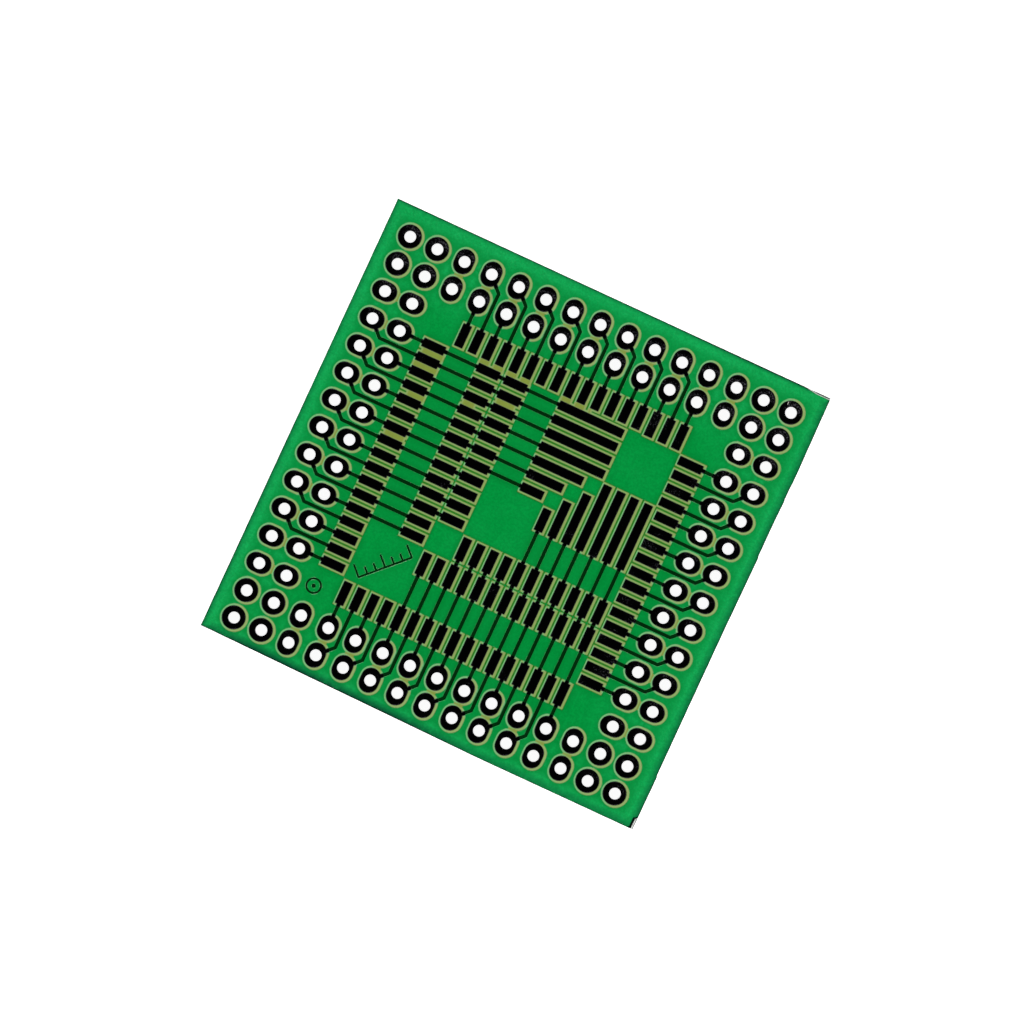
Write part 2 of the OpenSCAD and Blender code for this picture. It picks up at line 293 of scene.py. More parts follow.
class Plan:
    """The board's drawing in millimetres, worked out from the sizes."""

    SIDES = ("left", "bottom", "right", "top")
    # Contacts a side, and pads a side of the carriers that have short pads
    CONTACTS, LANDS = 17, (17, 13, 11)
    # Pads a side of the largest and the smallest carrier that the long pads serve
    LONG = (7, 4)
    # How many of each side's outer pads, from the first, are longer by a tip
    TIPS = {"left": 0, "bottom": 0, "right": 4, "top": 3}
    # The sides whose contacts also serve the smaller carriers
    SHARED = ("left", "bottom")
    # The way that a side's pin pads run, and that its outer tracks lean
    WAYS = {"left": "x", "right": "x", "bottom": "y", "top": "y"}
    LEANS = {"x": 1, "y": -1}
    # Pin holes from the middle of a row to its corner
    RINGS = 7
    # Where tracks start, from the middle of their pin hole: straight ones and leaning ones
    STRAIGHT_START, LEANING_START = 0.78, 0.75
    # Places of the tick scale and the ring target, from the last contacts' lines
    SCALE_AT, TARGET_AT = (0.56, -0.09), (-2.59, -2.34)
    # Webs of mask flaked away: pads a side of the land, the upper pad, start and end of the stretch
    LOST_WEBS = (
        (17, 0, 0.1, 1), (17, 1, 0, 1), (17, 3, 0.25, 1), (17, 6, 0.1, 0.95),
        (13, 2, 0.05, 0.6), (11, 1, 0.05, 0.85),
    )
    # The same below the pads of the top row: the pad, start and end
    LOST_ENDS = ((6, 0, 0.4), (7, 0, 1), (8, 0, 1), (11, 0, 1), (12, 0, 1), (13, 0, 1), (14, 0, 1))
    # Where the blade drifted inwards down the right edge before it stepped out again: start, end, depth
    DRIFTS = ((12.5, 10.85, 0.05), (10.85, 5.6, 0.055), (5.6, -14.9, 0.055), (-14.9, -30, 0.03))
    # The strips that the shear broke off, up the right edge and along the top edge: their width, then the
    # length of each, the stretch where it narrows away and the width of crushed laminate
    STRIP = 0.19
    STRIPS = ((1.1, 0.15, 0.075), (2.8, 1.6, 0.12))
    # Spacing of the points along the board's edge, and the wave of the edge's unevenness
    EDGE_STEP = 0.22
    EDGE_WAVE = 1.6

    def __init__(self, sizes):
        for name in BoardSizes.__annotations__:
            setattr(self, name, getattr(sizes, name) * MM)
        self.contacts = [(side, k) for side in self.SIDES for k in range(self.CONTACTS)]
        self.grid = 2 * self.pitch
        self.inner_ring = self.ring - self.grid
        self.drill_r = self.hole_r + self.plating
        (self.left, self.low, self.z0), (self.right, self.high, self.z1) = [
            [v * MM for v in corner] for corner in LAMINATE_BOX
        ]
        self.copper_t = CIRCUIT_BOX[1][2] * MM - self.z1
        self.top = CAD_BOX[1][2] * MM
        self.foot = CAD_BOX[0][2] * MM

    def at(self, k):
        """Place of one contact along its side."""
        return ((self.CONTACTS - 1) / 2 - k) * self.pitch

    def row(self, n):
        """Middle of the row of pads for a carrier with n pads a side."""
        return self.at(n - 1) - self.reach

    def hole(self, side, k):
        """The pin hole of one contact."""
        step = self.LEANS[self.WAYS[side]] * self.pitch if k % 2 else 0
        return TURNS[side](-self.ring if k % 2 else -self.inner_ring, self.at(k) + step)

    def holes(self):
        """Every pin hole: x, y and the way that its pad runs."""
        row = [i * self.grid for i in range(-self.RINGS, self.RINGS + 1)]
        found = []
        for x in row:
            for y in row:
                wide, tall = [abs(v) > self.inner_ring - self.pitch / 2 for v in (x, y)]
                if wide or tall:
                    found.append((x, y, "round" if wide and tall else "x" if wide else "y"))
        return found

    @staticmethod
    def hole_side(x, y, way):
        if way == "round":
            return "corner"
        return ("left" if x < 0 else "right") if way == "x" else ("top" if y > 0 else "bottom")

    def spares(self, side):
        """The holes of one side that no track reaches."""
        used = {tuple(np.round(self.hole(*contact), 3)) for contact in self.contacts}
        spare = [h for h in self.holes() if tuple(np.round(h[:2], 3)) not in used]
        return [h for h in spare if self.hole_side(*h) == side]

    def ring_pad(self, x, y, way):
        """The pad round a pin hole."""
        if way == "round":
            return stroke(x, y, x, y, self.round_pad / 2)
        half = (self.oblong_l - self.oblong_w) / 2
        dx, dy = (half, 0) if way == "x" else (0, half)
        return stroke(x - dx, y - dy, x + dx, y + dy, self.oblong_w / 2)

    def pads(self, side, k):
        """The surface pads of one contact."""
        y, half, long = self.at(k), self.pad_w / 2, self.pad_l / 2
        tip = self.tip if k < self.TIPS[side] else 0
        spans = [(self.row(self.CONTACTS) - long, self.row(self.CONTACTS) + long + tip)]
        if side in self.SHARED:
            spans += [(self.row(n) - long, self.row(n) + long) for n in self.LANDS[1:] if k < n]
            if k < self.LONG[0]:
                end = self.row(max(k + 1, self.LONG[1])) + long
                end += self.tip if k < self.LONG[1] else 0
                spans.append((self.row(self.LONG[0]) - long, end))
        return [turned(bar(a, y - half, b, y + half), side) for a, b in spans]

    def all_pads(self):
        return [pad for contact in self.contacts for pad in self.pads(*contact)]

    def track(self, side, k):
        """The strokes of one contact's track, from the pad of its pin hole on."""
        x, y, half = self.row(self.CONTACTS), self.at(k), self.track_w / 2
        if side in self.SHARED:
            x = self.row(min(n for n in self.LONG[:1] + self.LANDS if k < n))
        if k % 2 == 0:
            return [turned(stroke(-self.inner_ring + self.STRAIGHT_START, y, x, y, half), side)]
        bend = -self.ring + self.pitch
        start = bend - self.pitch + self.LEANING_START * math.sqrt(0.5)
        foot = y + self.LEANS[self.WAYS[side]] * (bend - start)
        return [turned(stroke(start, foot, bend, y, half), side), turned(stroke(bend, y, x, y, half), side)]

    def marks(self):
        """The strokes of the tick scale, then the target's dot, outer circle and inner circle."""
        half, step, ticks, tall, short, dot, ring = self.mark_w / 2, 0.8, 7, 1.1, 0.6, 0.18, 0.7
        s = math.sqrt(0.5)
        last = self.at(self.CONTACTS - 1)
        (x0, y0), (cx, cy) = [(last + x, last + y) for x, y in (self.SCALE_AT, self.TARGET_AT)]
        end = (ticks - 1) * step * s
        strokes = [stroke(x0, y0, x0 + end, y0 + end, half)]
        for i in range(ticks):
            high = tall if i % 3 == 0 else short
            x, y = x0 + i * step * s, y0 + i * step * s
            strokes.append(stroke(x, y, x - high * s, y + high * s, half))
        return strokes, *(stroke(cx, cy, cx, cy, r) for r in (dot, ring, ring - self.mark_w))

    def hole_openings(self):
        """Openings in either mask for the pads of the pin holes, and between the pads of each pair."""
        found = []
        for hole in self.holes():
            *ends, half = self.ring_pad(*hole)
            found.append((*ends, half + self.gap))
        middle, wide, thin = (self.ring + self.inner_ring) / 2, self.oblong_w / 4, self.gap / 2
        for i in range(2 - self.RINGS, self.RINGS - 1):
            for s in (-1, 1):
                u = i * self.grid
                found.append(bar(s * middle - thin, u - wide, s * middle + thin, u + wide, corner=0.01))
                found.append(bar(u - wide, s * middle - thin, u + wide, s * middle + thin, corner=0.01))
        return moved(found, self.mask_shift)

    def pad_openings(self):
        """Openings in the top mask for the surface pads."""
        g = self.gap
        pads = self.all_pads()
        found = [bar(x0 - g, y0 - g, x1 + g, y1 + g, corner=0.07) for _, x0, y0, x1, y1, _ in pads]
        return moved(found, self.mask_shift)

    def lost_webs(self):
        """The stretches of the top mask where a web is lost."""
        found = []
        long, wide = self.pad_l + 2 * self.gap, self.pad_w + 2 * self.gap
        for n, k, a, b in self.LOST_WEBS:
            x = self.row(n) - long / 2
            found.append(bar(x + a * long, self.at(k + 1), x + b * long, self.at(k), corner=0.02))
        for k, a, b in self.LOST_ENDS:
            x = self.at(k) - wide / 2
            y = self.at(0)
            found.append(bar(x + a * wide, y, x + b * wide, y + self.reach, corner=0.02))
        return moved(found, self.mask_shift)

    def buried(self):
        """Copper that runs under the top mask, as strokes."""
        strokes, dot, _, _ = self.marks()
        found = [s for contact in self.contacts for s in self.track(*contact)]
        return moved(found + strokes + [dot], self.copper_shift)

    def copper(self):
        """All the copper of the top face."""
        found = [self.ring_pad(*h) for h in self.holes()] + self.all_pads()
        return moved(found, self.copper_shift) + self.buried()

    def target_ring(self, points):
        """Distance from the target's ring, negative in its copper."""
        outer, inner = moved(self.marks()[2:], self.copper_shift)
        return np.maximum(away(outer, points), -away(inner, points))

    def corners(self):
        return np.array([
            (self.left, self.high), (self.left, self.low + self.rise), (self.rise_start, self.low),
            (self.right, self.low), (self.right, self.lean_start), (self.right - self.lean, self.high),
        ])

    def drift(self, points):
        """How far the sheared right edge lies inside its line, at each point's height."""
        found = np.zeros(len(points))
        for start, end, depth in self.DRIFTS:
            share = (start - points[:, 1]) / (start - end)
            found += depth * np.clip(3 * share, 0, 1) * (share < 1)
        return found

    def edge_depth(self, points):
        """How far each point lies inside the board's sheared edge."""
        c = self.corners()
        found = np.full(len(points), FAR)
        for a, b in zip(c, np.roll(c, -1, 0)):
            d = (b - a) / np.linalg.norm(b - a)
            depth = (points[:, 1] - a[1]) * d[0] - (points[:, 0] - a[0]) * d[1]
            on_right = min(a[0], b[0]) > self.right - 2 * self.lean
            found = np.minimum(found, depth - (self.drift(points) if on_right else 0))
        return found

    def strips(self, points):
        """The two strips that the shear broke off, at the lower end of the right edge and at the right end of
        the top edge: each point's way in from the edge, and the strip's width there."""
        x, y = points[:, 0], points[:, 1]
        (up, up_taper, _), (along, along_taper, _) = self.STRIPS
        side = (self.right - self.drift(points) - x, self.STRIP * ease((self.low + up - y) / up_taper))
        return side, (self.high - y, self.STRIP * ease((x - self.right + along) / along_taper))

    def haze(self, x, y):
        """How hazy the tin round one pin hole is, and how bright its painted highlight, from 0 to 1: most
        towards the top and the right.
        """
        high, right, left = [max(0, min(1, (v - 8) / 7.5)) for v in (y, x, -x)]
        return 0.25 + 0.42 * high + 0.33 * max(right * (0.6 + 0.4 * high), left * high)

    def scratch(self):
        """The one scratch in the tin, on the upper right corner's ring pad."""
        return stroke(self.ring - 0.57, self.ring + 0.54, self.ring - 0.555, self.ring + 0.78, 0.02)

    def bruising(self, points):
        """How strong the painted shade along the nearest sheared edge is, partly crushed mask, from 0 to 1,
        and how far in it reaches.
        """
        x, y = points[:, 0], points[:, 1]
        low = 0.6 + 0.36 * ease((8 - x) / 12) * ease((x + 21) / 6)
        high = 0.66 + 0.22 * ease((x - 2) / 14)
        left = 0.64 - 0.1 * ease((y + 5) / 10)
        right = np.full(len(x), 0.68)
        side = np.argmin(np.stack([y - self.low, self.high - y, x - self.left, self.right - x]), 0)
        return np.choose(side, [low, high, left, right]), np.choose(side, [0.9, 0.32, 0.5, 0.75])

    def border(self, inset, rough, row):
        """The board's edge, counter-clockwise, set in by inset and by up to twice rough more. Each row of
        points down the sheared side is uneven in its own way."""
        c, found = self.corners(), []
        for i in range(len(c)):
            a, b, before, after = c[i], c[(i + 1) % len(c)], c[i - 1], c[(i + 2) % len(c)]
            d = (b - a) / np.linalg.norm(b - a)
            ends = []
            for q in (a - before, after - b):
                q = q / np.linalg.norm(q)
                m = np.array([-d[1] - q[1], d[0] + q[0]])
                ends.append(m / (m @ np.array([-d[1], d[0]])))
            count = max(1, round(np.linalg.norm(b - a) / self.EDGE_STEP))
            for t in np.arange(count) / count:
                found.append((*(a + (b - a) * t), *(ends[0] * (1 - t) + ends[1] * t)))
        found = np.array(found)
        p, n = found[:, :2], found[:, 2:]
        seed, wave = 3.0 + 0.7 * row, self.EDGE_WAVE
        depth = inset + rough * (1 + 0.7 * ripple(p, wave, seed) + 0.3 * ripple(p, wave * 0.23, seed + 2))
        drifted = np.where(p[:, 0] > self.right - self.lean - 0.01, self.drift(p), 0)
        return snapped(p + n * depth[:, None] - np.stack([drifted, 0 * drifted], 1))


# ---- meshes

# Insets of the mask's loops of points along the board's edge
INSETS = (0.012, 0.03, 0.06, 0.12, 0.22, 0.4, 0.78)
# Loops beside a track, where the mask's rib over it starts and ends
RIB_LOOPS = (-0.015, 0.02, 0.065)
# Width of the thin mask round a pin hole's pad
PALE_LIP = 0.06
# Clearances of the mask: off the laminate, the extra off copper, and below the CAD's top; then its least
# thickness
OFF_LAMINATE, OFF_COPPER, BELOW_TOP, THINNEST = 0.0004, 0.0006, 0.001, 0.006
# How much thinner the mask is at an opening and at the sheared edge
LIP_DROP, EDGE_DROP = 0.024, 0.03
# The laminate's rows of points down its sheared sides: inset, unevenness and share of the height
SIDE_ROWS = (
    (0.012, 0.008, 1.0), (0.004, 0.012, 0.93), (0.03, 0.014, 0.7),
    (0.012, 0.02, 0.4), (0.0, 0.014, 0.12), (0.02, 0.012, 0.0),
)


def triangles(loops, loose=()):
    """The plane cut up by closed loops and loose points: its points, its triangles, and the loops that hold
    each triangle."""
    points, faces = [Vector(p) for p in loose], []
    for loop in loops:
        first = len(points)
        points += [Vector(p) for p in snapped(loop)]
        faces.append(list(range(first, first + len(loop))))
    out = delaunay_2d_cdt(points, [], faces, 1, 1e-6, True)
    flat, tris = [np.array([tuple(v) for v in part]) for part in (out[0], out[2])]
    return flat, tris, [set(i) for i in out[5]]


def split(edges, loops):
    """The edges that run along one of the loops, and the others."""
    places = {tuple(p) for loop in loops for p in loop.tolist()}
    return [[e for e in edges if places.issuperset(e) == along] for along in (True, False)]


def level(z):
    """The height of a flat sheet."""
    return lambda p: np.full(len(p), z)


class Skin:
    """One mesh under way: its points, its faces, and at each face corner the way that the surface looks."""

    def __init__(self):
        self.points, self.faces, self.looks, self.slots = [], [], [], []
        self.values = {}
        self.count = 0

    def sheet(self, flat, tris, height, up=True, **values):
        """Adds a curved sheet over flat triangles. height gives z at each point. Returns each point's index
        by its place, and the sheet's open edges with the sheet on their left."""
        used, inverse = np.unique(tris, return_inverse=True)
        flat, tris = flat[used], inverse.reshape(tris.shape)
        e = 0.003
        z = height(flat)
        gx = (height(flat + (e, 0)) - height(flat - (e, 0))) / (2 * e)
        gy = (height(flat + (0, e)) - height(flat - (0, e))) / (2 * e)
        look = np.stack([-gx, -gy, np.ones(len(z))], 1)
        look /= np.linalg.norm(look, axis=1)[:, None]
        first = self.count
        self.points.append(np.column_stack([flat, z]))
        self.count += len(flat)
        for name, value in values.items():
            self.values.setdefault(name, []).append((first, value(flat)))
        ordered = tris if up else tris[:, ::-1]
        self.faces += (ordered + first).tolist()
        self.looks += (look if up else -look)[ordered.ravel()].tolist()
        self.slots += [0] * len(ordered)
        edges = np.concatenate([tris[:, [0, 1]], tris[:, [1, 2]], tris[:, [2, 0]]])
        key = np.sort(edges, 1) @ np.array([len(flat) + 1, 1])
        _, index, times = np.unique(key, return_index=True, return_counts=True)
        place = [tuple(p) for p in flat.tolist()]
        where = {p: first + i for i, p in enumerate(place)}
        return where, [(place[a], place[b]) for a, b in edges[index[times == 1]].tolist()]

    def wall(self, edges, upper, lower, inward=False, slot=0):
        """Joins two sheets along open edges, smooth round gentle bends. inward turns the wall round."""

        def square_to(a, b):
            d = np.array([b[1] - a[1], a[0] - b[0]])
            return d / max(np.linalg.norm(d), 1e-9) * (-1 if inward else 1)

        out = {}
        for a, b in edges:
            for p in (a, b):
                out.setdefault(p, []).append(square_to(a, b))
        for a, b in edges:
            d = square_to(a, b)
            look = []
            for p in (a, b):
                near = sum((v for v in out[p] if v @ d > 0.6), np.zeros(2))
                near = near / np.linalg.norm(near)
                look.append((near[0], near[1], 0.0))
            face = [upper[a], lower[a], lower[b], upper[b]]
            turn = [look[0], look[0], look[1], look[1]]
            self.faces.append(face[::-1] if inward else face)
            self.looks += turn[::-1] if inward else turn
            self.slots.append(slot)

    def piece(self, name, nodes, slot, colours, *builds):
        """Makes the object, which stands for the named CAD nodes, with a material for each build."""
        mesh = bpy.data.meshes.new(name)
        points = np.concatenate(self.points)
        mesh.from_pydata((points / MM).tolist(), [], self.faces)
        for label, parts in self.values.items():
            data = np.zeros(len(points), np.float32)
            for first, part in parts:
                data[first : first + len(part)] = part
            mesh.attributes.new(label, "FLOAT", "POINT").data.foreach_set("value", data)
        mesh.polygons.foreach_set("material_index", self.slots)
        for build in builds:
            mesh.materials.append(material(build, colours))
        mesh.normals_split_custom_set(self.looks)
        mesh.update()
        found = bpy.data.objects.new(name, mesh)
        bpy.context.scene.collection.objects.link(found)
        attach(found, "root")
        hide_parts(*nodes)
        return found


def bitten(loop, inset, plan):
    """One of the mask's border loops, with the two strips that the shear broke off."""
    depth = [
        np.where((way < 0.7) & (width > 0.01), np.maximum(width + 0.6 * inset - way, 0), 0)
        for way, width in plan.strips(loop)
    ]
    return snapped(loop - np.stack(depth, 1))


def mask_skin(plan, top):
    """Solder mask on one face: a sheet that thins to a lip at each opening and at the sheared edge. On top it
    also rises over the tracks."""
    hole_openings = plan.hole_openings()
    pad_openings, lost_webs, buried = [], [], []
    loops = [plan.border(inset, 0.008, 0 if top else len(SIDE_ROWS) - 1) for inset in INSETS]
    if top:
        pad_openings, lost_webs, buried = plan.pad_openings(), plan.lost_webs(), plan.buried()
        loops = [bitten(loop, inset, plan) for loop, inset in zip(loops, INSETS)]
    openings = hole_openings + pad_openings + lost_webs
    lip = plan.lip
    grows = (0, 0.3 * lip, lip, PALE_LIP)
    holes = set(range(len(loops), len(loops) + len(grows) * len(openings), len(grows)))
    loops += outlines(openings, grows, 8) + outlines(buried, RIB_LOOPS, 3)
    loose = ()
    if top:
        for shape, way in zip(moved(plan.marks()[2:], plan.copper_shift), (1, -1)):
            loops += outlines([shape], [way * g for g in RIB_LOOPS], 8)
        # Loose points let the mask's shade fade out round the surface pads and over the wide fields
        spacing, steps, round_pads = 0.6, 30, 0.17
        row = np.arange(-steps, steps + 1) * spacing
        grid = np.array([(x, y) for x in row for y in row])
        loose = snapped(np.concatenate([grid] + outlines(pad_openings, [round_pads], 2)))
    flat, tris, held = triangles(loops, loose)
    tris = tris[[i for i, h in enumerate(held) if 0 in h and not h & holes]]
    flat = flat + 0.005 * np.stack([ripple(flat, 1.3, 4), ripple(flat, 1.1, 9)], 1)

    def under(p):
        return np.minimum(nearest(buried, p), plan.target_ring(p)) if top else nearest(buried, p)

    def over(p):
        return fade(under(p), 0.008, 0.042)

    def shade(p):
        near_copper = 0.4 * fade(under(p), 0.4, 0.3)
        near_pad = 0.85 * fade(nearest(pad_openings, p), 0.05, 0.15)
        near_ring = 0.65 * fade(nearest(hole_openings, p), 0.05, 0.2)
        return np.maximum(np.maximum(near_copper, near_pad), near_ring)

    # Painted shade along the sheared edge, a black painted line at the broken strip, and partly crushed mask
    def bruise(p):
        depth, (strong, deep) = plan.edge_depth(p), plan.bruising(p)
        way, width = plan.strips(p)[0]
        chip = ease((width + 0.165 - way) / 0.03) * ease(width / 0.1) if top else 0
        line = fade(depth, 0.06, 0.06) * strong**2
        return fade(depth, 0.03, deep) * strong + (0.8 + 0.5 * ripple(p, 1.1, 5)) * line + 2 * chip

    def thin(p):
        lips = slope(nearest(openings, p), 0, lip)
        edge = slope(plan.edge_depth(p), 0.02, 0.23)
        return LIP_DROP * (1 - quarter(1 - lips)) * (1 - 0.9 * over(p)) + EDGE_DROP * edge**2

    def low(p):
        if top:
            return plan.z1 + OFF_LAMINATE + over(p) * (plan.copper_t + OFF_COPPER)
        return plan.foot + 0.8 * thin(p)

    def high(p):
        if top:
            full = plan.top - plan.rib - BELOW_TOP + over(p) * plan.rib
            return np.maximum(full - thin(p), low(p) + THINNEST)
        return np.full(len(p), plan.z0 - OFF_LAMINATE)

    skin = Skin()
    marks = {
        "over_copper": lambda p: fade(under(p), -0.015, 0.035),
        "lip": lambda p: slope(nearest(hole_openings, p), 0, PALE_LIP),
        "web": lambda p: slope(width_between(pad_openings, p), 0.1, 0.015),
        "shade": shade,
        "bruise": bruise,
    }
    upper, open_edges = skin.sheet(flat, tris, high, True, **marks)
    lower, _ = skin.sheet(flat, tris, low, False, **marks)
    skin.wall(open_edges, upper, lower)
    return skin


def laminate_skin(plan):
    """The drilled glass-epoxy sheet, with uneven sheared sides."""
    copper, lost_webs = plan.copper(), plan.lost_webs()
    hole_openings, pad_openings = plan.hole_openings(), plan.pad_openings() + lost_webs
    joints = [s for s in hole_openings if s[0] == "bar"]
    rows = [plan.border(inset, rough, i) for i, (inset, rough, _) in enumerate(SIDE_ROWS)]
    bores = outlines([stroke(x, y, x, y, plan.drill_r) for x, y, _ in plan.holes()], [0], 8)
    gone = set(range(1, 1 + len(bores)))
    skin = Skin()

    def sheet(border, z, up, extra, **marks):
        flat, tris, held = triangles([border] + bores + extra)
        tris = tris[[i for i, h in enumerate(held) if 0 in h and not h & gone]]
        return skin.sheet(flat, tris, level(z), up, **marks)

    def film(p):
        by_pad = fade(np.abs(nearest(pad_openings, p)), 0.02, 0.045)
        return np.maximum(by_pad, 0.8 * fade(np.abs(nearest(hole_openings, p)), 0.005, 0.045))

    # Pale rim beside the copper and the openings: partly paler laminate, partly a painted highlight off the
    # mask's edge
    def rims(p):
        by_copper = 0.5 * fade(nearest(copper, p), 0.06, 0.06)
        joint = 0.8 * fade(nearest(joints, p), -0.02, 0.08)
        by_ring = fade(np.abs(nearest(hole_openings, p)), 0.16, 0.08) * (1 - joint)
        by_pad = 0.6 * fade(np.abs(nearest(pad_openings, p)), 0.16, 0.08)
        return np.maximum(by_copper, np.maximum(by_ring, by_pad))

    def narrow(p):
        across = np.abs(nearest(copper, p)) + np.abs(nearest(hole_openings + pad_openings, p))
        return fade(across, 0.17, 0.08)

    def sliver(p):
        found = 0
        for (way, width), (_, _, crushed) in zip(plan.strips(p), plan.STRIPS):
            torn = ease((width + 0.03 - way) / 0.03) + ease((crushed + 0.02 - way) / 0.02)
            found = np.maximum(found, torn * ease(width / 0.1))
        return found

    def lines(crushed):
        """How far in from the edge the torn laminate's look changes."""
        return crushed, crushed + 0.02, plan.STRIP, plan.STRIP + 0.03

    extra = outlines([shortened(s) for s in copper], (0.0, 0.02, 0.055, 0.12), 6)
    extra += outlines(hole_openings + pad_openings, (0.0, -0.16), 6)
    extra += outlines(pad_openings, (-0.02, -0.065), 6) + outlines(hole_openings, [-0.05], 6)
    extra += outlines(lost_webs, [-0.25], 6)
    # Boxes along the two strips, at each line where the look of the torn laminate changes
    (up, up_taper, up_crushed), (along, along_taper, along_crushed) = plan.STRIPS
    x, y = plan.right - 0.03, plan.low
    ends = (up - up_taper, up)
    boxes = [bar(x - d, y + 0.04, x - 0.035, y + end, corner=0) for d in lines(up_crushed) for end in ends]
    x, y = plan.right - plan.lean - 0.06, plan.high
    ends = (plan.right - along + along_taper, plan.right - along)
    boxes += [bar(end, y - d, x, y - 0.04, corner=0) for d in lines(along_crushed) for end in ends]
    extra += outlines(boxes, [0], 2)
    marks = {
        # foot: a painted contact shadow, the laminate darkened to the tin's colour in a thin band round the
        # copper
        "rim": rims, "narrow": narrow, "foot": lambda p: fade(nearest(copper, p), 0.02, 0.035),
        "film": film, "sliver": sliver,
    }
    top, top_edges = sheet(rows[0], plan.z1, True, extra, **marks)
    low, _ = sheet(rows[-1], plan.z0, False, [])
    skin.wall(split(top_edges, bores)[0], top, low, slot=1)
    # The sheared sides: rows of points from the top edge to the bottom edge
    count = len(rows[0])
    index = [[top[tuple(p)] for p in rows[0].tolist()]]
    for row, (_, _, share) in list(zip(rows, SIDE_ROWS))[1:-1]:
        z = plan.z0 + share * (plan.z1 - plan.z0)
        first = skin.count
        skin.points.append(np.column_stack([row, np.full(count, z)]))
        skin.count += count
        index.append(list(range(first, first + count)))
    index.append([low[tuple(p)] for p in rows[-1].tolist()])
    all_points = np.concatenate(skin.points)
    for upper, lower in zip(index, index[1:]):
        for i in range(count):
            j = (i + 1) % count
            face = [upper[i], lower[i], lower[j], upper[j]]
            p = all_points[face]
            look = np.cross(p[1] - p[0], p[3] - p[0])
            skin.faces.append(face)
            skin.looks += [(look / np.linalg.norm(look)).tolist()] * 4
            skin.slots.append(1)
    return skin


def add_circuit(skin, plan, hole, pads, tracks):
    """Adds one circuit to the skin: a plated hole with its ring pads, its track and its surface pads."""
    x, y, way = hole
    ring, *pads = moved([plan.ring_pad(x, y, way), *pads], plan.copper_shift)
    tracks = moved(tracks, plan.copper_shift)
    bore = stroke(x, y, x, y, plan.hole_r)
    bore_loop, drill_loop, *lips = outlines([bore], (0, plan.plating, 0.012, 0.04, 0.12), 8)
    scratch = plan.scratch()

    def haze(p):
        """A hazy band round the hole with a painted highlight on its upper side, patches on the outer pads,
        and the scratch.
        """
        out = np.hypot(p[:, 0] - x, p[:, 1] - y)
        facing = ((p[:, 1] - y) * 0.9 - (p[:, 0] - x) * 0.1) / np.maximum(out, 0.1)
        band = ease((out - 0.55) / 0.1) * ease((0.95 - out) / 0.12)
        outer = ease((p.max(1) - 10.7) / 0.3) * (away(ring, p) > 0)
        on_pad = 0.42 * outer * ease((p[:, 0] - 2) / 6) * ease(ripple(p, 3.1, 5) / 0.4)
        found = np.maximum(band * ease((facing + 0.5) / 1.2) * plan.haze(x, y), on_pad)
        return found + 2 * fade(away(scratch, p), 0, 0.02)

    def body(shapes, exposed, p):
        """Thickness of the copper: rounded at its edge and into the hole, and swollen where exposed."""
        edge = 0.45 + 0.55 * quarter(-nearest(shapes, p) / 0.03)
        drop = 0.03 * (1 - quarter(away(bore, p) / 0.04))
        depth = np.minimum(-nearest(exposed, p), away(bore, p))
        dome = 1 - (1 - np.clip(depth / 0.25, 0, 1)) ** 2
        return plan.copper_t * edge + plan.swell * dome - drop

    def half(shapes, exposed, loops, z, sign):
        """The copper on one face: its outer sheet and its sheet against the laminate."""
        first = len(loops)
        flat, tris, held = triangles(loops + [bore_loop, drill_loop] + lips)
        solid = set(range(len(shapes)))
        keep = [i for i, h in enumerate(held) if h & solid and first not in h]
        back = [i for i in keep if first + 1 not in held[i]]
        outer = skin.sheet(
            flat, tris[keep], lambda p: z + sign * body(shapes, exposed, p), sign > 0, haze=haze
        )
        return outer, skin.sheet(flat, tris[back], level(z), sign < 0)

    within = (-0.012, -0.03, -0.12)
    shapes = [ring] + pads + tracks
    loops = outlines(shapes, [0], 8) + outlines([ring] + pads, within, 8)
    loops += outlines([shortened(s) for s in tracks], within[:2], 4)
    if min(x, y) > plan.ring - 0.1:
        loops += outlines([scratch], (0, 0.02), 3)
    (top, top_edges), (under, under_edges) = half(shapes, [ring] + pads, loops, plan.z1, 1)
    (low, low_edges), (over, _) = half([ring], [ring], outlines([ring], (0, *within), 8), plan.z0, -1)
    bore_edges, rim_edges = split(top_edges, [bore_loop])
    skin.wall(rim_edges, top, under)
    skin.wall(bore_edges, top, low)
    skin.wall(split(under_edges, [drill_loop])[0], under, over, inward=True)
    skin.wall(split(low_edges, [bore_loop])[1], over, low)


# ---- materials


def fill(tree, node, inputs):
    """Links or sets each of a node's inputs."""
    for name, value in inputs.items():
        if isinstance(value, bpy.types.NodeSocket):
            tree.links.new(value, node.inputs[name])
        else:
            node.inputs[name].default_value = value


def scaled(colour, factor):
    return [v * factor for v in colour]


